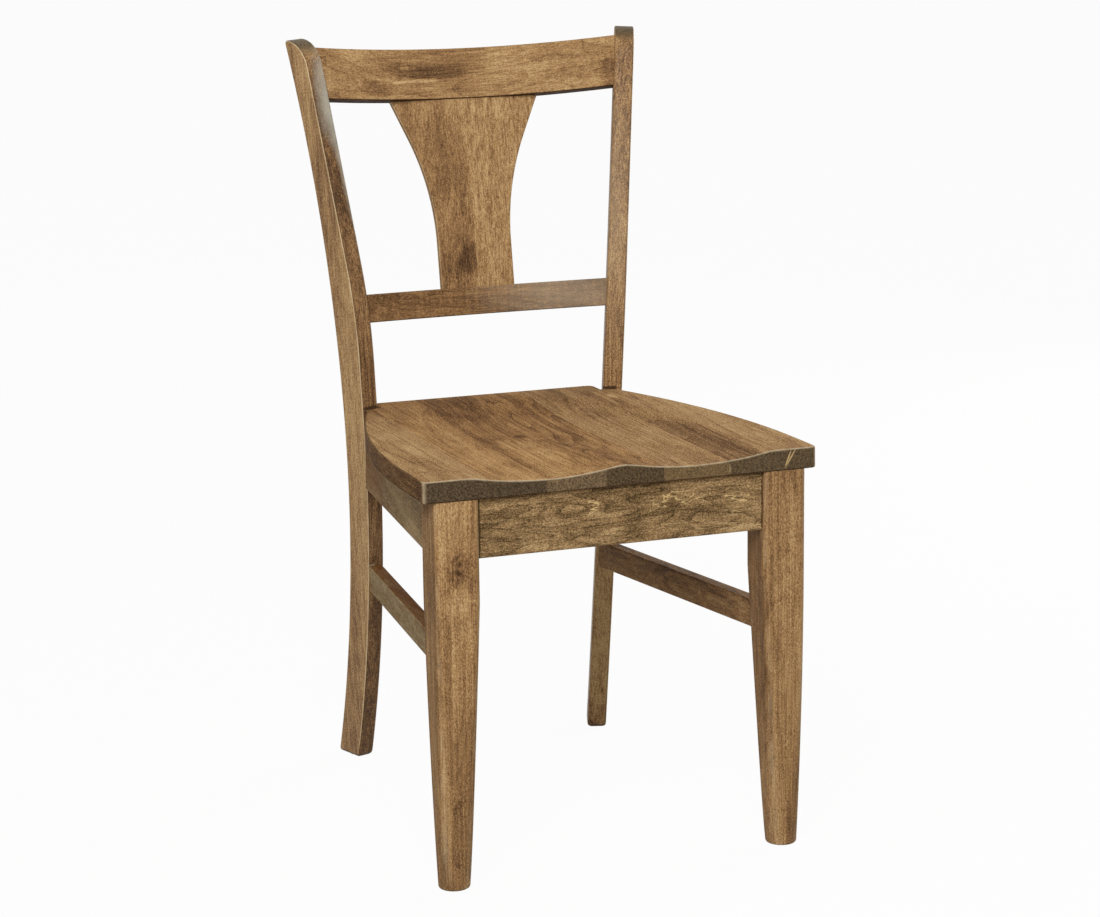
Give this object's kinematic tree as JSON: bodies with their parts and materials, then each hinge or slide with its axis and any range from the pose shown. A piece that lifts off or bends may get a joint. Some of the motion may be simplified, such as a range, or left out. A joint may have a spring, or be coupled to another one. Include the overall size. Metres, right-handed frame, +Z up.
{
  "type": "dining side chair",
  "caption": "Wooden dining side chair with a fan-shaped splat between raked posts, a scooped plank seat, tapered front legs and side stretchers.",
  "frame": {"origin": "middle of the whole chair's footprint, on the floor", "axes": "+X to the sitter's left, which is the right-hand side seen from the front; +Y towards the back; +Z up"},
  "size_m": [0.454, 0.5528, 0.882],
  "materials": {
    "stained_maple": "brown stain under satin lacquer",
    "light_maple": "lighter brown stain under satin lacquer",
    "dark_maple": "darker brown stain under satin lacquer",
    "bare_wood": "unfinished",
    "screw_steel": "zinc plated",
    "glide_nylon": "matte"
  },
  "bodies": {
    "root": {"left_back_post": "stained_maple", "right_back_post": "stained_maple", "crest_rail": "stained_maple", "lower_back_rail": "stained_maple", "splat_left_board": "stained_maple", "splat_right_board": "stained_maple", "left_front_leg": "stained_maple", "right_front_leg": "stained_maple", "front_apron": "stained_maple", "rear_apron": "stained_maple", "left_side_apron": "stained_maple", "right_side_apron": "stained_maple", "left_side_stretcher": "stained_maple", "right_side_stretcher": "stained_maple", "seat_board_1": "light_maple", "seat_board_2": "stained_maple", "seat_board_3": "light_maple", "seat_board_4": "stained_maple", "seat_board_5": "stained_maple", "seat_board_6": "dark_maple", "seat_board_7": "light_maple", "front_left_block": "bare_wood", "front_right_block": "bare_wood", "rear_left_block": "bare_wood", "rear_right_block": "bare_wood", "crest_dowels": "bare_wood", "lower_rail_dowels": "bare_wood", "front_apron_dowels": "bare_wood", "rear_apron_dowels": "bare_wood", "side_apron_front_dowels": "bare_wood", "side_apron_rear_dowels": "bare_wood", "stretcher_front_dowels": "bare_wood", "stretcher_rear_dowels": "bare_wood", "block_screws": "screw_steel", "seat_screws": "screw_steel", "front_glides": "glide_nylon", "rear_glides": "glide_nylon"}
  },
  "joints": []
}
